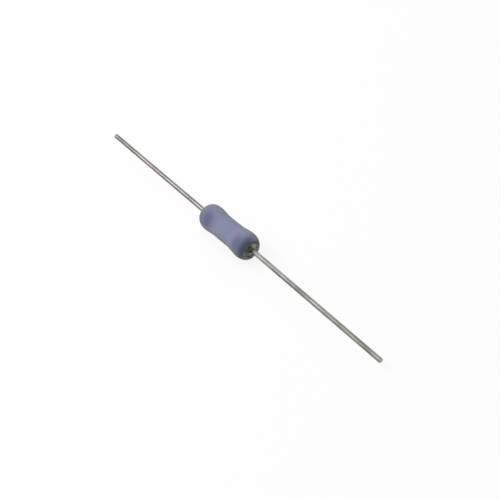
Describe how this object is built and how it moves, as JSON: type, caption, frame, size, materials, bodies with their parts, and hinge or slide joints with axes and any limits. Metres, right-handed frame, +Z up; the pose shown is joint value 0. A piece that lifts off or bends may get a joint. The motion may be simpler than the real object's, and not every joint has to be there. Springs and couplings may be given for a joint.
{
  "type": "axial metal oxide film resistor",
  "caption": "Axial through-hole power resistor: bare grey-blue lacquered dog-bone body with open ends and a straight tinned lead along the axis at each end.",
  "frame": {"origin": "middle of the coated body, on the axis of the leads", "axes": "+X along the leads, towards the lead that is nearer in the picture; +Z up from the surface that the body lies on; +Y across"},
  "size_m": [0.0676, 0.0044, 0.0044],
  "materials": {
    "lacquer": "satin grey-blue silicone lacquer, slightly mottled",
    "ceramic": "fired white ceramic, matt",
    "oxide": "thin dark metal oxide film, slightly glossy",
    "cap_metal": "drawn steel with dull tin plating, darkened round the weld",
    "tinned_wire": "dull solder-dipped copper wire with drawing lines"
  },
  "bodies": {
    "root": {"coating": "lacquer", "ceramic_rod": "ceramic", "oxide_film": "oxide", "end_cap_left": "cap_metal", "end_cap_right": "cap_metal", "lead_left": "tinned_wire", "lead_right": "tinned_wire"}
  },
  "joints": []
}
